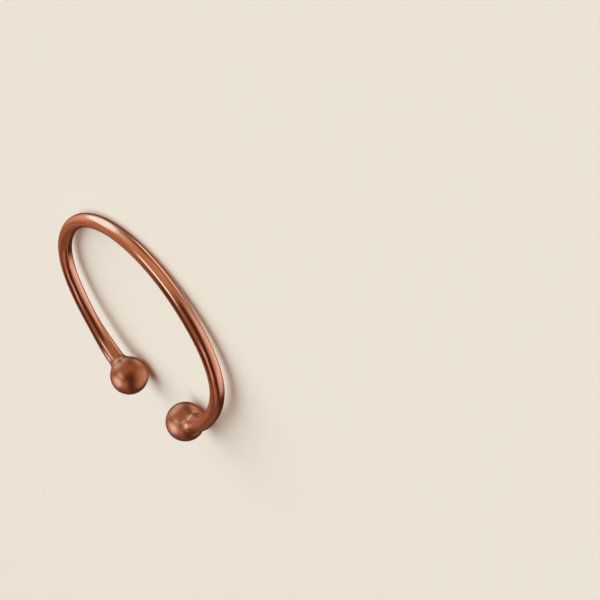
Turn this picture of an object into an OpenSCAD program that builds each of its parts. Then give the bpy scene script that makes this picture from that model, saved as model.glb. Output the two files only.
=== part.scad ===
/* [Rod] */
// Thickness of the round rod
rod_d = 4; // [3:0.5:5]
// Width of the oval, measured at the middle of the rod
oval_w = 72; // [66:1:80]
// Height of the top of the oval above its widest place, at the middle of the rod
top_h = 30.5; // [28:0.5:32]
// Depth of the bottom of the oval below its widest place, at the middle of the rod
low_h = 32; // [29:0.5:34]
// Radius of the tight bend on each side, above the widest place
top_side_r = 23; // [20:1:25]
// Radius of the tight bend on each side, below the widest place
low_side_r = 20; // [18:1:25]

/* [Ends] */
// Diameter of the ball on each end
ball_d = 11.4; // [9:0.2:12]
// Angle from the bottom of the oval at which the rod leaves it and runs straight
end_angle = 33; // [31:1:38]
// Straight length from there to the middle of the ball
end_l = 7; // [7:0.5:10]
// Radius of the hollow blend where the rod meets the ball
neck_r = 1.2; // [0.8:0.1:1.4]

/* [Hidden] */
$fn = 96;
copper = [0.80, 0.46, 0.33];

rod_r = rod_d / 2;
ball_r = ball_d / 2;
half_w = oval_w / 2;

// The oval is six arcs that run smoothly into each other: a broad one over the top, a broad one
// below, and on each side a tight one above and another below the widest place. The broad radius
// and the angle at which a broad arc hands over to a tight one follow from the other sizes,
// because arcs that touch smoothly have their centres in line with the place where they meet.
function broad_r(h, side_r) =
    (pow(half_w - side_r, 2) + h * h - side_r * side_r) / (2 * (h - side_r));
function meet_angle(h, side_r) = atan2(broad_r(h, side_r) - h, half_w - side_r);

top_r = broad_r(top_h, top_side_r);
top_meet = meet_angle(top_h, top_side_r);
low_r = broad_r(low_h, low_side_r);
low_meet = meet_angle(low_h, low_side_r);

// Where the lower arc ends and the straight end begins, and the height of the ball's middle
bend_x = low_r * sin(end_angle);
bend_y = low_r - low_h - low_r * cos(end_angle);
ball_y = bend_y - end_l * sin(end_angle);

// The balls are fatter than the rod. Laid on its side the bracelet stands on both balls and on
// the top of the oval, so it leans until all three touch the surface.
lean = asin((ball_r - rod_r) / (top_h - ball_y));
front_y = ball_y * cos(lean) - ball_r;
back_y = top_h * cos(lean) + rod_r;

// Each stretch of rod stops this far short of the next one, and a bead a hair fatter than the
// rod fills the place, so that the stretches grow together into one solid.
link_gap = 0.1;
link_r = rod_r + 0.015;

// A stretch of rod bent to the radius r about its own centre, from one angle to another
module bent_rod(r, from, to) {
    short_by = link_gap / r * 180 / PI;
    rotate([0, 0, from + short_by])
        rotate_extrude(angle = to - from - 2 * short_by)
            translate([r, 0])
                circle(d = rod_d);
}

// The bead that joins two stretches, at the angle a on an arc of radius r
module link(r, a)
    rotate([0, 0, a])
        translate([r, 0])
            sphere(r = link_r);

// The hollow blend at the ball, turned about the rod: a wedge of metal with a round hollow
// taken out of it. The middle of the hollow lies neck_r off both the rod and the ball.
module neck() {
    hollow_x = rod_r + neck_r;
    hollow_z = end_l - sqrt((ball_r + neck_r) * (ball_r + neck_r) - hollow_x * hollow_x);
    share = ball_r / (ball_r + neck_r);
    touch_x = hollow_x * share;
    touch_z = end_l - (end_l - hollow_z) * share;
    rotate_extrude()
        difference() {
            polygon([[0, hollow_z], [rod_r, hollow_z], [touch_x, touch_z], [0, touch_z]]);
            translate([hollow_x, hollow_z])
                circle(r = neck_r);
        }
}

// The straight end of the rod with its ball, along +Z from the bend
module ball_end() {
    translate([0, 0, link_gap])
        cylinder(h = end_l - link_gap, d = rod_d);
    neck();
    translate([0, 0, end_l])
        sphere(d = ball_d);
}

// The right half of the oval below its broad top: the two tight bends, the lower arc, the end
module side_and_end() {
    translate([half_w - top_side_r, 0]) {
        bent_rod(top_side_r, 0, top_meet);
        link(top_side_r, top_meet);
        link(top_side_r, 0);
    }
    translate([half_w - low_side_r, 0]) {
        bent_rod(low_side_r, -low_meet, 0);
        link(low_side_r, -low_meet);
    }
    translate([0, low_r - low_h]) {
        bent_rod(low_r, end_angle - 90, -low_meet);
        link(low_r, end_angle - 90);
    }
    translate([bend_x, bend_y])
        rotate([0, 0, end_angle])
            rotate([0, -90, 0])
                ball_end();
}

// The whole bracelet is one piece of solid copper: a round rod bent to an oval that is open at
// the bottom, with a ball on each end. It lies on its side, the open middle facing up.
module cuff()
    color(copper)
        translate([0, -(front_y + back_y) / 2, rod_r + top_h * sin(lean)])
            rotate([-lean, 0, 0]) {
                translate([0, top_h - top_r])
                    bent_rod(top_r, top_meet, 180 - top_meet);
                side_and_end();
                mirror([1, 0, 0])
                    side_and_end();
            }

cuff();
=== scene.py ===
# %% [markdown]
# A copper cuff bracelet
#
# The real bracelet is one piece of metal: a round copper rod, four millimetres thick, bent to an
# oval that stays open on one side, with a ball on each end. Nothing on it moves. All of its
# charm is in the polish, so this lesson spends few steps on the shape and many on the surface:
# the mesh has to be smooth enough to mirror the room without a wobble, and the copper needs the
# small faults that tell the eye it is metal and not plastic.
#
# We work in metres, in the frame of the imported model, where the bracelet lies on its side on
# the plane z = 0.

# %% Load the frame
import math

import bmesh
import bpy
from mathutils import Matrix, Vector


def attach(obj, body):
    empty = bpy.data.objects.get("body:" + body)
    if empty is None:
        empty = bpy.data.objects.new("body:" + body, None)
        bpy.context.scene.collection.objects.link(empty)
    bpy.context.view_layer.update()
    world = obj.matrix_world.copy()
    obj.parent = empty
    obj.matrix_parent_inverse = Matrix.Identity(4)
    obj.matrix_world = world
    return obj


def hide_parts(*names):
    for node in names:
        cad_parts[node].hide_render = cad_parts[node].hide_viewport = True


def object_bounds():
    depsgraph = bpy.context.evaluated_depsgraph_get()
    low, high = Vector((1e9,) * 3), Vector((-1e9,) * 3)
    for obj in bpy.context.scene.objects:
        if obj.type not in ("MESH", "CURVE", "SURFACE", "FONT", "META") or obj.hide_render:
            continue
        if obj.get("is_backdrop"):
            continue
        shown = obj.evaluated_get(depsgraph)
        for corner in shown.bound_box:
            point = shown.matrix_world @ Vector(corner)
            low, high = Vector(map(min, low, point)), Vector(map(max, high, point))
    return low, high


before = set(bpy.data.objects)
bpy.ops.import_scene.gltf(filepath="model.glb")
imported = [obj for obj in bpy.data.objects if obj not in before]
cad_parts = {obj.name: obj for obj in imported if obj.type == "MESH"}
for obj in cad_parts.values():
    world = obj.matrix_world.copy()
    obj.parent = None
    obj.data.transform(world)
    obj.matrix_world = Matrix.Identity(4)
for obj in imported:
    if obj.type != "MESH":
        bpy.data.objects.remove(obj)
cad_low, cad_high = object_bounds()
cad_box = [list(cad_low), list(cad_high)]
MM = 0.001
print("packed parts:", list(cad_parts))
print("packed box in mm:", [round((b - a) / MM, 2) for a, b in zip(cad_low, cad_high)])

# %% [markdown]
# The camera
#
# A photograph fixes the camera by three things: the direction it looks at the bracelet from,
# how far away it stands, and where on the picture the bracelet lands. We could place a camera by
# eye and nudge it. It is steadier to write those three things down and let the code turn them
# into a matrix: first a camera that looks straight at the bracelet, rolled as it was when the
# picture was taken, and then a small turn that carries the bracelet from the middle of the
# picture to its place. No lens shift is needed, so other views of the scene stay centred.
#
# PICTURE is the picture's side in pixels, SENSOR the camera's in millimetres, and BRACELET_AT the
# pixel where the bracelet's middle lands, counted from the top left. At the bracelet the picture
# is only about 17 cm wide, so the lens is a long one.

# %% Aim the camera
PICTURE = 600
SENSOR = 36.0
BRACELET_AT = Vector((134.2, 327.8))
view_distance = 0.450
view_azimuth = math.radians(46.7)
view_height = math.radians(17.7)
view_roll = math.radians(236.2)
lens = 96.4
NEAREST = 0.01
FARTHEST = 20.0


def direction(azimuth, height):
    """A unit vector that points up from the horizon by height, azimuth turned from +Y to +X."""
    flat = math.cos(height)
    return Vector((math.sin(azimuth) * flat, math.cos(azimuth) * flat, math.sin(height)))


bracelet_middle = (cad_low + cad_high) / 2
towards_camera = direction(view_azimuth, view_height)
level = towards_camera.to_track_quat("Z", "Y").to_matrix()
rolled = level @ Matrix.Rotation(view_roll, 3, "Z")
off_middle = (BRACELET_AT - Vector((PICTURE, PICTURE)) / 2) * SENSOR / PICTURE
line_of_sight = Vector((off_middle.x, -off_middle.y, -lens))
aim = Vector((0, 0, -1)).rotation_difference(line_of_sight).to_matrix()

camera_data = bpy.data.cameras.new("camera")
camera_data.sensor_width = SENSOR
camera_data.lens = lens
camera_data.clip_start = NEAREST
camera_data.clip_end = FARTHEST
camera = bpy.data.objects.new("camera", camera_data)
bpy.context.scene.collection.objects.link(camera)
camera.matrix_world = Matrix.Translation(
    bracelet_middle + towards_camera * view_distance
) @ (rolled @ aim.inverted()).to_4x4()
bpy.context.scene.camera = camera
print("camera at", [round(c, 3) for c in camera.matrix_world.translation])

# %% [markdown]
# The bracelet's measures
#
# The oval is the middle line of the rod, drawn with a compass: a broad arc over the top, a broad
# arc below, and on each side two tight ones, one above and one below the widest place. It
# reaches half_w to each side, top_h up and low_h down. The lower arc stops at end_angle before
# its lowest point, and there the rod runs on straight for end_l, up to the middle of the ball.
#
# Arcs run smoothly into each other when their centres lie in line with the point where they
# meet, and that rule gives the radius of each broad arc and the angle at which it meets the side.

# %% Measures
rod_r = 2.0 * MM
ball_r = 5.68 * MM
half_w = 36.0 * MM
top_h = 30.5 * MM
low_h = 32.0 * MM
top_side_r = 23.0 * MM
low_side_r = 20.0 * MM
end_angle = math.radians(33)
end_l = 7.0 * MM


def broad_arc(height, side_r):
    """The radius of the broad arc of that height, and the angle where it meets the side."""
    side_x = half_w - side_r
    radius = (side_x**2 + height**2 - side_r**2) / (2 * (height - side_r))
    return radius, math.atan2(radius - height, side_x)


top_r, top_meet = broad_arc(top_h, top_side_r)
low_r, low_meet = broad_arc(low_h, low_side_r)
quarter = math.pi / 2
print("broad arcs:", round(top_r / MM, 2), "mm over the top and", round(low_r / MM, 2), "mm below")

# %% [markdown]
# One table holds the four arcs of the right half, in the order in which the rod runs through
# them from the top down: the centre of each, its radius, and the angles at which the rod comes
# in and goes out. The bending reads it, and so does the polish later on.

# %% The arcs of the right half
arcs = [
    (Vector((0, top_h - top_r, 0)), top_r, quarter, top_meet),
    (Vector((half_w - top_side_r, 0, 0)), top_side_r, top_meet, 0.0),
    (Vector((half_w - low_side_r, 0, 0)), low_side_r, 0.0, -low_meet),
    (Vector((0, low_r - low_h, 0)), low_r, -low_meet, end_angle - quarter),
]
low_centre = arcs[-1][0]
outward = Vector((math.sin(end_angle), -math.cos(end_angle), 0))
bend = low_centre + outward * low_r
end_way = Vector((-math.cos(end_angle), -math.sin(end_angle), 0))
ball_middle = bend + end_way * end_l
print("mouth between the balls:", round(2 * (ball_middle.x - ball_r) / MM, 1), "mm")

# %% [markdown]
# Bending the rod
#
# Copper rod is drawn through a plate until it is straight and round, and then bent over a
# mandrel. In Blender the spin operator does the same job as the mandrel: it carries a ring of
# vertices round a centre and leaves a tube behind. A curve with a round bevel would be quicker
# to type, but its rings bunch up where the curvature changes, and the reflections show it. With
# one spin for each arc every ring stands square to the rod, and the spacing is ours to choose.
# We bend the right half only, starting from the top of the oval.

# %% Spin the right half of the oval
SIDES = 72
RING_STEP = 0.6 * MM
WELD = rod_r / 1000


def open_edges(bm):
    """The edges at the far end of the rod, where it goes on growing."""
    rim = [e for e in bm.edges if e.is_boundary or e.is_wire]
    start = [e for e in rim if all(abs(v.co.x) < WELD for v in e.verts)]
    return rim if len(start) == len(rim) else [e for e in rim if e not in start]


body = bmesh.new()
ring = bmesh.ops.create_circle(body, cap_ends=False, radius=rod_r, segments=SIDES)["verts"]
bmesh.ops.rotate(body, verts=ring, cent=(0, 0, 0), matrix=Matrix.Rotation(quarter, 3, "Y"))
bmesh.ops.translate(body, verts=ring, vec=(0, top_h, 0))

for centre, radius, come_in, go_out in arcs:
    turn = come_in - go_out
    steps = round(radius * turn / RING_STEP)
    bmesh.ops.spin(
        body, geom=open_edges(body), cent=centre, axis=(0, 0, -1), angle=turn, steps=steps,
        use_duplicate=False, use_merge=False,
    )
    print("arc of", round(radius / MM, 1), "mm:", steps, "rings")

# %% [markdown]
# Thickening the end
#
# Towards the ball the rod grows thicker by a fifth over its last bend, the way metal gathers
# where a bar is hammered from its end, and it runs half a millimetre outside its arc. Every ring
# of that bend is scaled and moved outwards, a little more than the ring before it. A smooth step
# starts and stops the change, so that no reflection has a kink in it.

# %% Swell the last stretch of the bend
end_r = 2.45 * MM
swell_l = 14.0 * MM
outset = 0.5 * MM


def smooth_step(part):
    """0 at 0 and 1 at 1, level at both."""
    return part * part * (3 - 2 * part)


for vert in body.verts:
    arm = Vector((vert.co.x, vert.co.y, 0)) - low_centre
    to_bend = low_r * (math.atan2(arm.y, arm.x) - (end_angle - quarter))
    if to_bend < swell_l and arm.y < 0:
        grown = smooth_step(1 - max(to_bend, 0.0) / swell_l)
        size = 1 + (end_r / rod_r - 1) * grown
        reach = low_r + (arm.length - low_r) * size + outset * grown
        vert.co = low_centre + arm.normalized() * reach + Vector((0, 0, vert.co.z * size))
print("rod thickness:", 2 * rod_r / MM, "mm, and at its ends", 2 * end_r / MM, "mm")

# %% [markdown]
# The straight end, the neck and the ball
#
# The end runs into the ball through a hollow neck, the trace of the file and the buffing wheel.
# On the real bracelet this end is turned or forged, so every cut across it is a circle, and we
# can grow it ring by ring: extrude the last ring, push it along the rod, scale it to the radius
# that the shape has there. Two short formulas give the rings, one for the hollow neck and one
# for the ball. Each touches the next without a step in direction, so that a reflection slides
# over the join. On the way the rings come back in from the half millimetre that the bend ran
# outside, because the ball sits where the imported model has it.

# %% Grow the end ring by ring
neck_r = 3.0 * MM
NECK_STEPS = 12
BALL_STEPS = 56

neck_x = end_r + neck_r
neck_z = end_l - math.sqrt((ball_r + neck_r) ** 2 - neck_x**2)
ball_start = math.asin(neck_x / (ball_r + neck_r))
neck_turn = quarter - ball_start
neck_end = end_l - math.cos(ball_start) * ball_r


def grow_ring(bm, along, radius):
    """Extrudes the open ring to a place along the end's axis, with a new radius there."""
    made = bmesh.ops.extrude_edge_only(bm, edges=open_edges(bm))["geom"]
    verts = [v for v in made if isinstance(v, bmesh.types.BMVert)]
    middle = sum((v.co for v in verts), Vector()) / len(verts)
    size = radius / (verts[0].co - middle).length
    to_middle = Matrix.Translation(-middle)
    bmesh.ops.scale(bm, verts=verts, vec=(size, size, size), space=to_middle)
    still_out = outward * outset * smooth_step(1 - min(along / neck_end, 1.0))
    place = bend + end_way * along + still_out
    bmesh.ops.translate(bm, verts=verts, vec=place - middle)


straight_steps = math.ceil(neck_z / RING_STEP)
for i in range(1, straight_steps + 1):
    grow_ring(body, neck_z * i / straight_steps, end_r)
for i in range(1, NECK_STEPS + 1):
    turn = neck_turn * i / NECK_STEPS
    grow_ring(body, neck_z + math.sin(turn) * neck_r, neck_x - math.cos(turn) * neck_r)
for i in range(1, BALL_STEPS):
    turn = ball_start + (math.pi - ball_start) * i / BALL_STEPS
    grow_ring(body, end_l - math.cos(turn) * ball_r, math.sin(turn) * ball_r)
tip = bmesh.ops.extrude_edge_only(body, edges=open_edges(body))["geom"]
tip = [v for v in tip if isinstance(v, bmesh.types.BMVert)]
bmesh.ops.pointmerge(body, verts=tip, merge_co=bend + end_way * (end_l + ball_r))
print("right half:", len(body.faces), "faces")

# %% [markdown]
# The other half
#
# The left half mirrors the right one. The mirror operator welds the two halves along the ring at
# the top of the oval. A mirrored mesh is turned inside out, so Blender then works out the
# outward side of every face again.

# %% Mirror and weld
bmesh.ops.mirror(
    body, geom=body.verts[:] + body.edges[:] + body.faces[:], matrix=Matrix.Identity(4),
    merge_dist=WELD, axis="X",
)
bmesh.ops.remove_doubles(body, verts=body.verts, dist=WELD)
bmesh.ops.recalc_face_normals(body, faces=body.faces)
loose = [e for e in body.edges if not e.is_manifold]
print("whole bracelet:", len(body.faces), "faces,", len(loose), "open edges")

# %% [markdown]
# Remembering the straight rod
#
# Draw lines and buffing marks run along the rod and bend with it. A pattern that reads the
# place in space would cut straight through the bracelet instead. So before the bracelet is laid
# down, each vertex gets a second place: where it was when the rod was still straight. The first
# number is the distance along the rod from the top of the oval, the other two lie across it. The
# material reads this as an attribute. A flat unwrap would do too, but it would have a seam, and
# this has none.

# %% Store each point's place on the straight rod
HAIR = 1e-6


def on_straight_rod(p):
    """Where a point of the bent bracelet was when the rod was straight."""
    here = Vector((abs(p.x), p.y, 0))
    passed = 0.0
    for centre, radius, come_in, go_out in arcs:
        arm = here - centre
        angle = math.atan2(arm.y, arm.x)
        if go_out - HAIR <= angle <= come_in + HAIR and abs(arm.length - radius) < 2 * rod_r:
            along, out = passed + radius * (come_in - angle), arm.length - radius
            break
        passed += radius * (come_in - go_out)
    else:
        arm = here - bend
        along, out = passed + arm.dot(end_way), arm.dot(outward)
    return Vector((math.copysign(along, p.x), out, p.z))


straight = body.verts.layers.float_vector.new("straight")
for vert in body.verts:
    vert[straight] = on_straight_rod(vert.co)
print("rod length with its balls:", round(2 * max(v[straight].x for v in body.verts) / MM, 1), "mm")

# %% [markdown]
# Laying it down
#
# The balls are fatter than the rod, so the bracelet doesn't lie quite flat: it stands on both
# balls and on the top of the oval, and leans by a few degrees. We turn and shift the mesh itself
# and leave the object at the origin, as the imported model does. A few thousandths of a millimetre
# of clearance keep every face on the upper side of the floor.

# %% Lean it on its three points and make the object
clearance = 0.006 * MM
lean = math.asin((ball_r - rod_r) / (top_h - ball_middle.y))
front = ball_middle.y * math.cos(lean) - ball_r
back = top_h * math.cos(lean) + rod_r
resting = Vector((0, -(front + back) / 2, rod_r + top_h * math.sin(lean) + clearance))
bmesh.ops.rotate(body, verts=body.verts, cent=(0, 0, 0), matrix=Matrix.Rotation(-lean, 3, "X"))
bmesh.ops.translate(body, verts=body.verts, vec=resting)

cuff_mesh = bpy.data.meshes.new("copper_cuff")
body.to_mesh(cuff_mesh)
body.free()
cuff_mesh.shade_smooth()
cuff = bpy.data.objects.new("copper_cuff", cuff_mesh)
bpy.context.scene.collection.objects.link(cuff)
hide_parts("cuff")
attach(cuff, "root")
print("lean", round(math.degrees(lean), 2), "degrees, triangles", 2 * len(cuff_mesh.polygons))

# %% [markdown]
# The copper
#
# Polished copper is a mirror with a colour, so nearly everything the eye reads comes from the
# room around it. The material only has to supply what the room can't: the warm tint of the
# metal, a faint mottling where the air has begun to darken it, hairline scratches from buffing
# that run along the rod, soft smudges that make the gloss uneven, and ends with a duller gloss
# that are painted darker and browner, a painted shade.
# Each of these is one small group of nodes, added below one at a time. Three helpers keep those
# groups short.

# %% Helpers for nodes
copper = bpy.data.materials.new("polished_copper")
copper.use_nodes = True
tree = copper.node_tree
shader = tree.nodes["Principled BSDF"]


def plug(socket, value):
    """Links an output to the socket, or sets the socket to a number, a vector or a colour."""
    if isinstance(value, bpy.types.NodeSocket):
        tree.links.new(value, socket)
    else:
        socket.default_value = value


def node(kind, settings=(), **inputs):
    """A node of that kind; its inputs are named values or the outputs that feed them."""
    made = tree.nodes.new(kind)
    for name, value in dict(settings).items():
        setattr(made, name, value)
    for name, value in inputs.items():
        plug(made.inputs[name.replace("_", " ")], value)
    return made


def calculate(operation, *values):
    """A Math node of that operation, with its values in order."""
    made = node("ShaderNodeMath", {"operation": operation})
    for socket, value in zip(made.inputs, values):
        plug(socket, value)
    return made.outputs["Value"]


print("material:", copper.name)

# %% [markdown]
# Colour
#
# Clean copper is a salmon pink. Where air has worked on it, it turns a shade browner and redder.
# A large soft noise chooses between the two, and the browner one never takes over entirely.

# %% Copper colour
BRIGHT_COPPER = (0.94, 0.53, 0.40, 1)
DULL_COPPER = (0.84, 0.40, 0.27, 1)
MOST_DULL = 0.6

in_space = node("ShaderNodeTexCoord").outputs["Object"]
mottle = node(
    "ShaderNodeTexNoise", Vector=in_space, Scale=90.0, Detail=4.0, Roughness=0.6
).outputs["Fac"]
dullness = node(
    "ShaderNodeMapRange", Value=mottle, From_Min=0.42, From_Max=0.68, To_Max=MOST_DULL
).outputs["Result"]


def mix_colours(share, first, second):
    """The first colour, with that share of the second one in it."""
    made = node("ShaderNodeMix", {"data_type": "RGBA"}, Factor=share)
    colour_sockets = [s for s in made.inputs if s.type == "RGBA"]
    for socket, colour in zip(colour_sockets, (first, second)):
        plug(socket, colour)
    return next(s for s in made.outputs if s.type == "RGBA")


tint = mix_colours(dullness, BRIGHT_COPPER, DULL_COPPER)
plug(shader.inputs["Metallic"], 1.0)
print("clean copper", BRIGHT_COPPER[:3], "and darkened copper", DULL_COPPER[:3])

# %% [markdown]
# Darker, duller ends
#
# The balls and the last bend are painted darker and browner. This is a painted shade that stands
# in for the shade around the ends. Their roughness also rises, so they mirror less sharply. A
# painted mask could say where. The distance along the straight rod says it too, and it can't
# slip: the change sets in a little before the straight end and is complete on the ball.

# %% Painted shade: darker, browner copper towards the balls
# Painted shade: the darker, browner copper colour mixed in towards the balls.
SHADED_COPPER = (0.55, 0.215, 0.12, 1)
MOST_SHADED = 0.9
SHADE_AND_WEAR_BEFORE = 6 * MM
SHADE_AND_WEAR_AFTER = 4 * MM

on_rod = node("ShaderNodeAttribute", {"attribute_name": "straight"}).outputs["Vector"]
along_rod = node("ShaderNodeSeparateXYZ", Vector=on_rod).outputs["X"]
bend_at = sum(radius * (come_in - go_out) for _, radius, come_in, go_out in arcs)
# One mask for the painted shade and for the duller gloss towards the balls.
shade_and_wear = node(
    "ShaderNodeMapRange", {"interpolation_type": "SMOOTHSTEP"},
    Value=calculate("ABSOLUTE", along_rod),
    From_Min=bend_at - SHADE_AND_WEAR_BEFORE, From_Max=bend_at + SHADE_AND_WEAR_AFTER,
).outputs["Result"]
# Painted shade: how much of the darker copper is mixed in.
painted_shade = calculate("MULTIPLY", shade_and_wear, MOST_SHADED)
plug(shader.inputs["Base Color"], mix_colours(painted_shade, tint, SHADED_COPPER))
print("the wear sets in", round((bend_at - SHADE_AND_WEAR_BEFORE) / MM, 1), "mm from the top of the oval")

# %% [markdown]
# Gloss
#
# Three things make the gloss uneven: fine buffing lines, which are noise stretched ninety times
# along the rod, smudges from use, which are broad and soft, and the worn ends. Each one adds its
# share to the roughness.

# %% Buffing lines and smudges
SHARPEST = 0.085
SMUDGED = 0.17
LINES_ADD = 0.09
WEAR_ADDS = 0.21
LINES_ALONG = 40.0
LINES_ACROSS = 3600.0

line_scale = (LINES_ALONG, LINES_ACROSS, LINES_ACROSS)
stretched = node("ShaderNodeMapping", Vector=on_rod, Scale=line_scale)
lines = node(
    "ShaderNodeTexNoise", Vector=stretched.outputs["Vector"], Scale=1.0, Detail=4.0,
    Roughness=0.7,
).outputs["Fac"]
smudge = node(
    "ShaderNodeTexNoise", Vector=in_space, Scale=160.0, Detail=5.0, Roughness=0.65
).outputs["Fac"]
line_gloss = node("ShaderNodeMapRange", Value=lines, To_Max=LINES_ADD).outputs["Result"]
smudge_gloss = node(
    "ShaderNodeMapRange", Value=smudge, From_Min=0.4, From_Max=0.75, To_Min=SHARPEST,
    To_Max=SMUDGED,
).outputs["Result"]
gloss = calculate("ADD", line_gloss, smudge_gloss)
# The same mask that paints shade towards the balls also raises the roughness there.
plug(shader.inputs["Roughness"], calculate("MULTIPLY_ADD", shade_and_wear, WEAR_ADDS, gloss))
print("roughness from", SHARPEST, "to", round(SMUDGED + LINES_ADD + WEAR_ADDS, 2), "on the balls")

# %% [markdown]
# Relief
#
# The scratches are also felt by the light as tiny grooves, and the rod keeps a very shallow
# waviness from bending and buffing, which makes the long reflections swim a little. Both are
# below a tenth of a millimetre, too small for the mesh, so they are bump.

# %% Scratches and waviness as bump
WAVE_DEPTH = 0.06 * MM
SCRATCH_DEPTH = 0.01 * MM
RELIEF = 0.35

waves = node(
    "ShaderNodeTexNoise", Vector=in_space, Scale=140.0, Detail=1.0, Roughness=0.4
).outputs["Fac"]
wavy = node("ShaderNodeBump", Height=waves, Strength=RELIEF, Distance=WAVE_DEPTH)
scratched = node(
    "ShaderNodeBump", Height=lines, Strength=RELIEF, Distance=SCRATCH_DEPTH,
    Normal=wavy.outputs["Normal"],
)
plug(shader.inputs["Normal"], scratched.outputs["Normal"])
cuff_mesh.materials.append(copper)
print("copper has", len(tree.nodes), "nodes")

# %% [markdown]
# The floor
#
# The bracelet lies on a plain sheet of pale, warm paper, wide enough that its edge stays out of
# every view. It is matt, so that the light alone makes it even.

# %% Floor
FLOOR_HALF = 4.0
PAPER = (0.85, 0.80, 0.72, 1)
PAPER_ROUGHNESS = 0.9
PAPER_GLOSS = 0.1

floor_mesh = bpy.data.meshes.new("floor")
ground = bmesh.new()
bmesh.ops.create_grid(ground, x_segments=1, y_segments=1, size=FLOOR_HALF)
ground.to_mesh(floor_mesh)
ground.free()
floor = bpy.data.objects.new("floor", floor_mesh)
bpy.context.scene.collection.objects.link(floor)
floor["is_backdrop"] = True

paper = bpy.data.materials.new("pale_paper")
paper.use_nodes = True
paper_shader = paper.node_tree.nodes["Principled BSDF"]
paper_shader.inputs["Base Color"].default_value = PAPER
paper_shader.inputs["Roughness"].default_value = PAPER_ROUGHNESS
paper_shader.inputs["Specular IOR Level"].default_value = PAPER_GLOSS
floor_mesh.materials.append(paper)
print("floor:", 2 * FLOOR_HALF, "m square")

# %% [markdown]
# The room that the copper mirrors
#
# Light on polished metal is a picture of the room in it: a window, some lamps, warm walls and
# the table. We could build that room from lamps and cards, but each hard edge would show in the
# copper as a hard line, and each lamp would throw its own shadow. So the room is painted on the
# world instead, all round and below the horizon too. The ground colour is a dark brown, and each
# thing in the room is one soft patch of light on it. The helper makes such a patch: it compares
# the direction a ray looks in with the patch's middle, and fades the light out from the patch's
# even core to its edge. Where patches overlap their light adds up.

# %% A helper for patches of light
DARK_ROOM = (0.07, 0.03, 0.017)

room = bpy.data.worlds.new("room")
room.use_nodes = True
tree = room.node_tree
sky = tree.nodes["Background"]
looking = node("ShaderNodeTexCoord").outputs["Generated"]


def on_vectors(operation, first, second):
    """A Vector Math node of that operation on two vectors."""
    made = node("ShaderNodeVectorMath", {"operation": operation})
    plug(made.inputs[0], first)
    plug(made.inputs[1], second)
    return made.outputs["Value" if operation == "DOT_PRODUCT" else "Vector"]


def glow(light, azimuth, height, core, edge, colour, tall=1.0):
    """Adds a patch to the light: even inside core degrees, gone at edge degrees."""
    squash = Vector((1, 1, 1 / tall))
    squashed = on_vectors("MULTIPLY", looking, squash)
    unit = node("ShaderNodeVectorMath", {"operation": "NORMALIZE"}, Vector=squashed)
    middle = direction(math.radians(azimuth), math.radians(height)) * squash
    facing = on_vectors("DOT_PRODUCT", unit.outputs["Vector"], middle.normalized())
    fade = node(
        "ShaderNodeMapRange", {"interpolation_type": "SMOOTHSTEP"}, Value=facing,
        From_Min=math.cos(math.radians(edge)), From_Max=math.cos(math.radians(core)),
    ).outputs["Result"]
    patch = node("ShaderNodeVectorMath", {"operation": "SCALE"}, Vector=colour, Scale=fade)
    return on_vectors("ADD", light, patch.outputs["Vector"])


print("the room's ground colour:", DARK_ROOM)

# %% [markdown]
# The patches
#
# Each row says what the patch stands for, the azimuth and height of its middle, the radius of
# its core and of its edge, all in degrees, and its colour. The window has one number more: it is
# an upright oval, 1.4 times as tall as wide. Lamps and the window are whiter than they look in
# the copper, which takes the blue and green out of everything it mirrors. The long lights on
# the rod are small round lamps, because a bent rod stretches whatever it mirrors into a line.

# %% Paint the room
glows = [
    ("window", -63, 0, 14, 25, (0.53, 1.05, 1.28), 1.4),
    ("window's halo", -62, 0, 8, 44, (0.30, 0.34, 0.28)),
    ("window's halo, left", -92, 5, 10, 29, (0.28, 0.21, 0.17)),
    ("window's halo, low", -86, -20, 5, 17, (0.20, 0.20, 0.16)),
    ("wall over the window", -62, 46, 12, 32, (0.34, 0.17, 0.08)),
    ("brown wall, left", -112, 16, 14, 34, (0.26, 0.13, 0.065)),
    ("brown wall, upper left", -105, 38, 6, 21, (0.18, 0.09, 0.04)),
    ("tan wall", -7, 12, 24, 48, (0.42, 0.27, 0.16)),
    ("tan wall below", 28, -38, 18, 42, (0.32, 0.20, 0.12)),
    ("under the window", -60, -42, 10, 30, (0.22, 0.16, 0.12)),
    ("strip lamp 1", -25, 52, 3, 11, (1.10, 1.75, 1.90)),
    ("strip lamp 2", -5, 57, 3, 11, (1.10, 1.62, 1.70)),
    ("strip lamp 3", 15, 57, 3, 11, (0.95, 1.25, 1.15)),
    ("far lamp 1", 100, 58, 3, 13, (0.72, 0.66, 0.57)),
    ("far lamp 2", 138, 56, 3, 14, (0.70, 0.48, 0.35)),
    ("warm ceiling", 60, 66, 12, 36, (0.22, 0.10, 0.055)),
    ("table", 110, -40, 32, 54, (0.48, 0.39, 0.31)),
    ("table, nearer", 115, -50, 14, 34, (0.24, 0.26, 0.25)),
    ("table, far side", 136, -12, 13, 28, (0.22, 0.18, 0.15)),
    ("table below", -50, -70, 14, 23, (0.82, 0.77, 0.68)),
    ("straight down", 172, -62, 14, 34, (0.34, 0.28, 0.24)),
    ("brown wall, right", 165, 44, 5, 22, (0.28, 0.14, 0.085)),
    ("brown wall, behind", 195, 24, 14, 40, (0.14, 0.065, 0.04)),
]
room_light = Vector(DARK_ROOM)
for _, *patch in glows:
    room_light = glow(room_light, *patch)
print("patches of light in the room:", len(glows))

# %% [markdown]
# A pale backdrop
#
# The room is there for the copper and not for the eye: from low down the camera would look over
# the edge of the paper at its brown walls. A studio hangs paper behind the table too. The rays
# that come straight from the camera therefore get the paper's own shade in place of the room.

# %% Backdrop and view
BACKDROP = (0.83, 0.76, 0.66, 1)

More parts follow.
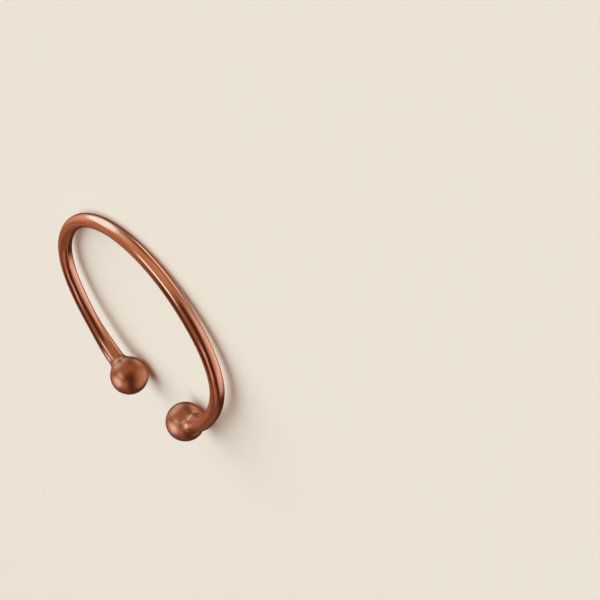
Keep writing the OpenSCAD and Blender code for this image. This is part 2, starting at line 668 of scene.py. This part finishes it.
straight_look = node("ShaderNodeLightPath").outputs["Is Camera Ray"]
plug(sky.inputs["Color"], mix_colours(straight_look, room_light, BACKDROP))
plug(sky.inputs["Strength"], 1.0)
bpy.context.scene.world = room
bpy.context.scene.view_settings.view_transform = "Standard"
print("backdrop:", BACKDROP[:3])

# %% [markdown]
# Daylight on the floor
#
# The painted room lights the paper only dimly. One sun lamp does the rest. It is as wide as half
# the sky, so the bracelet's shadow is soft, and it comes from the window's side. The copper
# doesn't mirror it, because the copper has its own window, and a second one would show.
#
# In turn the paper stays out of the copper: the lower half of the painted room takes its place
# there. Cycles finds what a surface mirrors in two ways, with mirrored rays and with shadow rays
# towards bright places, so the floor is hidden from both kinds.

# %% Daylight
DAYLIGHT = 2.78
DAYLIGHT_WIDTH = math.radians(90)
DAYLIGHT_COLOUR = (0.87, 0.975, 1.0)
lamp_from = direction(math.radians(-70), math.radians(55))

lamp_data = bpy.data.lights.new("soft_daylight", "SUN")
lamp_data.energy = DAYLIGHT
lamp_data.angle = DAYLIGHT_WIDTH
lamp_data.color = DAYLIGHT_COLOUR
lamp = bpy.data.objects.new("soft_daylight", lamp_data)
lamp.rotation_euler = lamp_from.to_track_quat("Z", "Y").to_euler()
lamp.visible_glossy = False
bpy.context.scene.collection.objects.link(lamp)
floor.visible_glossy = False
floor.visible_shadow = False
print("daylight from", [round(c, 2) for c in lamp_from])

# %% [markdown]
# A lamp for each ball
#
# A ball shows nearly the whole room in one small disc, so the room's lamps shrink to dots on it.
# The real ball carries broad, soft spots. A small oval lamp close above each ball makes the
# brightest of them: seen from the ball it is large, and seen from the rod it is small and far.
# The camera and the paper don't see it at all. Like the window it is bluer than the spot looks.

# %% Ball lamps
LAMP_GAP = 22 * MM
LAMP_WIDTH = 19 * MM
LAMP_LENGTH = 30 * MM
LAMP_SPREAD = math.radians(80)
LAMP_WATTS = 5.6e-4
LAMP_COLOUR = (0.86, 1.0, 1.14)
spot_from = direction(math.radians(-114), math.radians(75))

for side in (1, -1):
    ball_at = Vector((side * ball_middle.x, resting.y + front + ball_r, ball_r))
    spot_data = bpy.data.lights.new("ball_lamp", "AREA")
    spot_data.shape = "ELLIPSE"
    spot_data.size = LAMP_WIDTH
    spot_data.size_y = LAMP_LENGTH
    spot_data.spread = LAMP_SPREAD
    spot_data.energy = LAMP_WATTS
    spot_data.color = LAMP_COLOUR
    spot = bpy.data.objects.new("ball_lamp", spot_data)
    spot.location = ball_at + spot_from * LAMP_GAP
    spot.rotation_euler = spot_from.to_track_quat("Z", "Y").to_euler()
    spot.visible_camera = False
    spot.visible_diffuse = False
    bpy.context.scene.collection.objects.link(spot)
    print("ball lamp at", [round(c / MM, 1) for c in spot.location], "mm")

# %% [markdown]
# The sizes
#
# Both boxes, the imported model's and the visible bracelet's, are printed in millimetres. The
# visible bracelet may not be larger than the imported one.

# %% Print the sizes
made_low, made_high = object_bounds()
made_box = [list(made_low), list(made_high)]
print("packed and visible box in mm:")
for corner_cad, corner_made in zip(cad_box, made_box):
    print([round(c / MM, 2) for c in corner_cad], [round(c / MM, 2) for c in corner_made])
